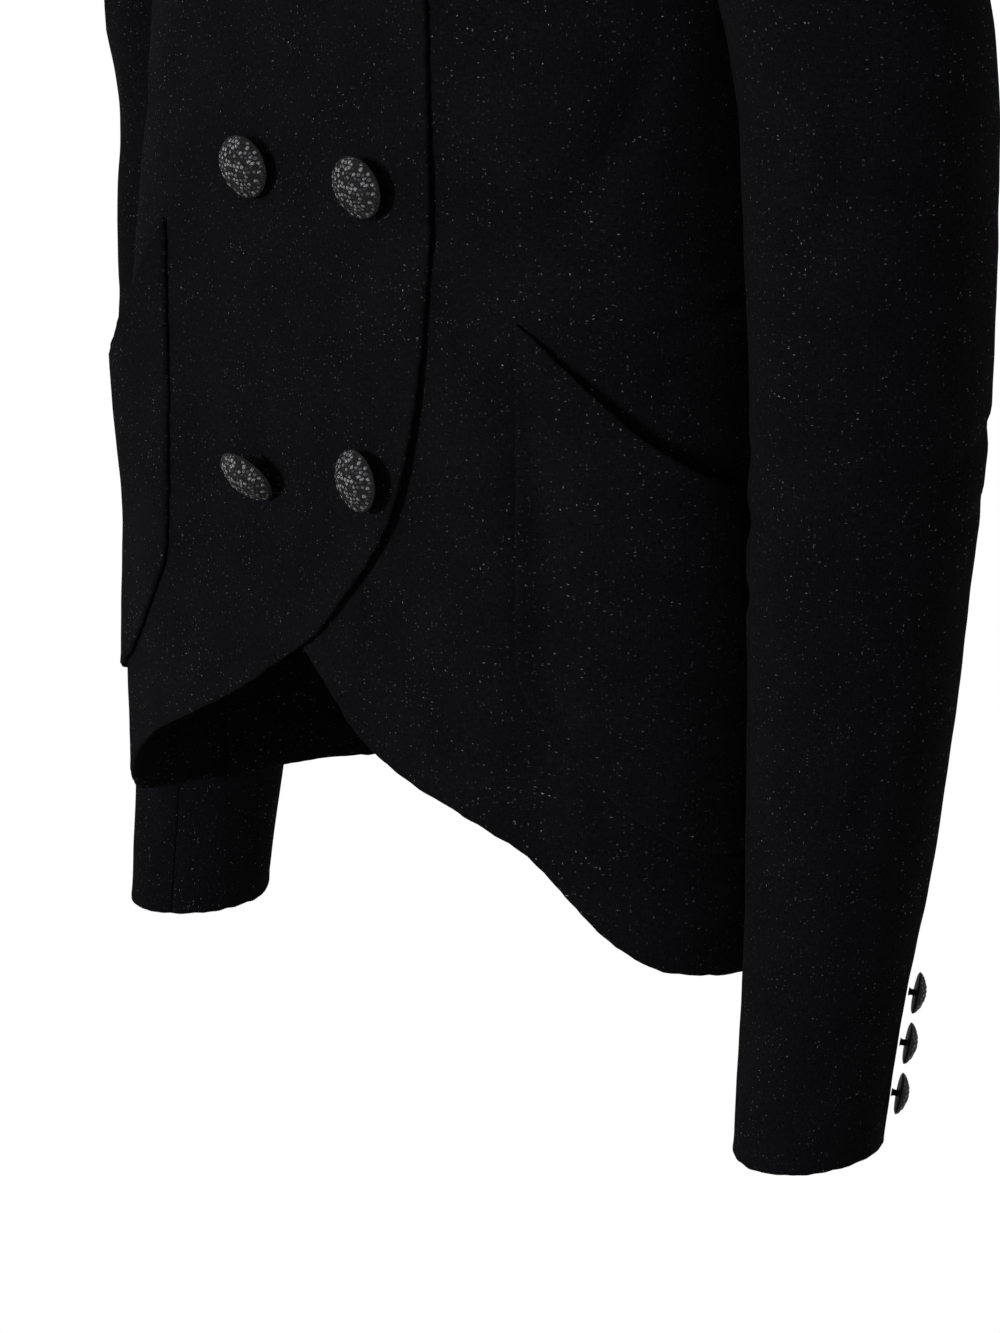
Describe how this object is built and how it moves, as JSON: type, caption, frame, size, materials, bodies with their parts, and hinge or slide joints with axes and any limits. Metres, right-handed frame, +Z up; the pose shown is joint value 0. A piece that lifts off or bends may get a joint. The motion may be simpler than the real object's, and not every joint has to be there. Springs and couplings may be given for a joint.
{
  "type": "tweed jacket",
  "caption": "Black double-breasted collarless tweed jacket with a cutaway front, two slanted patch pockets and large silver covered buttons, in its worn shape.",
  "frame": {"origin": "middle of the neck opening, level with the top of the shoulder seams, where the wearer's neck and shoulders hold the jacket up", "axes": "+Z up, the front faces -Y, the wearer's left is +X"},
  "size_m": [0.5872, 0.2862, 0.754],
  "materials": {
    "tweed": "matte black wool tweed with fine silver metallic flecks",
    "covered_button": "silver grey woven metallic thread over a dome"
  },
  "bodies": {
    "root": {"front_right_over": "tweed", "front_left_under": "tweed", "back": "tweed", "sleeve_top_left": "tweed", "sleeve_under_left": "tweed", "sleeve_top_right": "tweed", "sleeve_under_right": "tweed", "pocket_left": "tweed", "pocket_right": "tweed", "front_button_1_right": "covered_button", "front_button_1_left": "covered_button", "front_button_2_right": "covered_button", "front_button_2_left": "covered_button", "front_button_3_right": "covered_button", "front_button_3_left": "covered_button", "cuff_button_1_left": "covered_button", "cuff_button_2_left": "covered_button", "cuff_button_3_left": "covered_button", "cuff_button_1_right": "covered_button", "cuff_button_2_right": "covered_button", "cuff_button_3_right": "covered_button"}
  },
  "joints": []
}
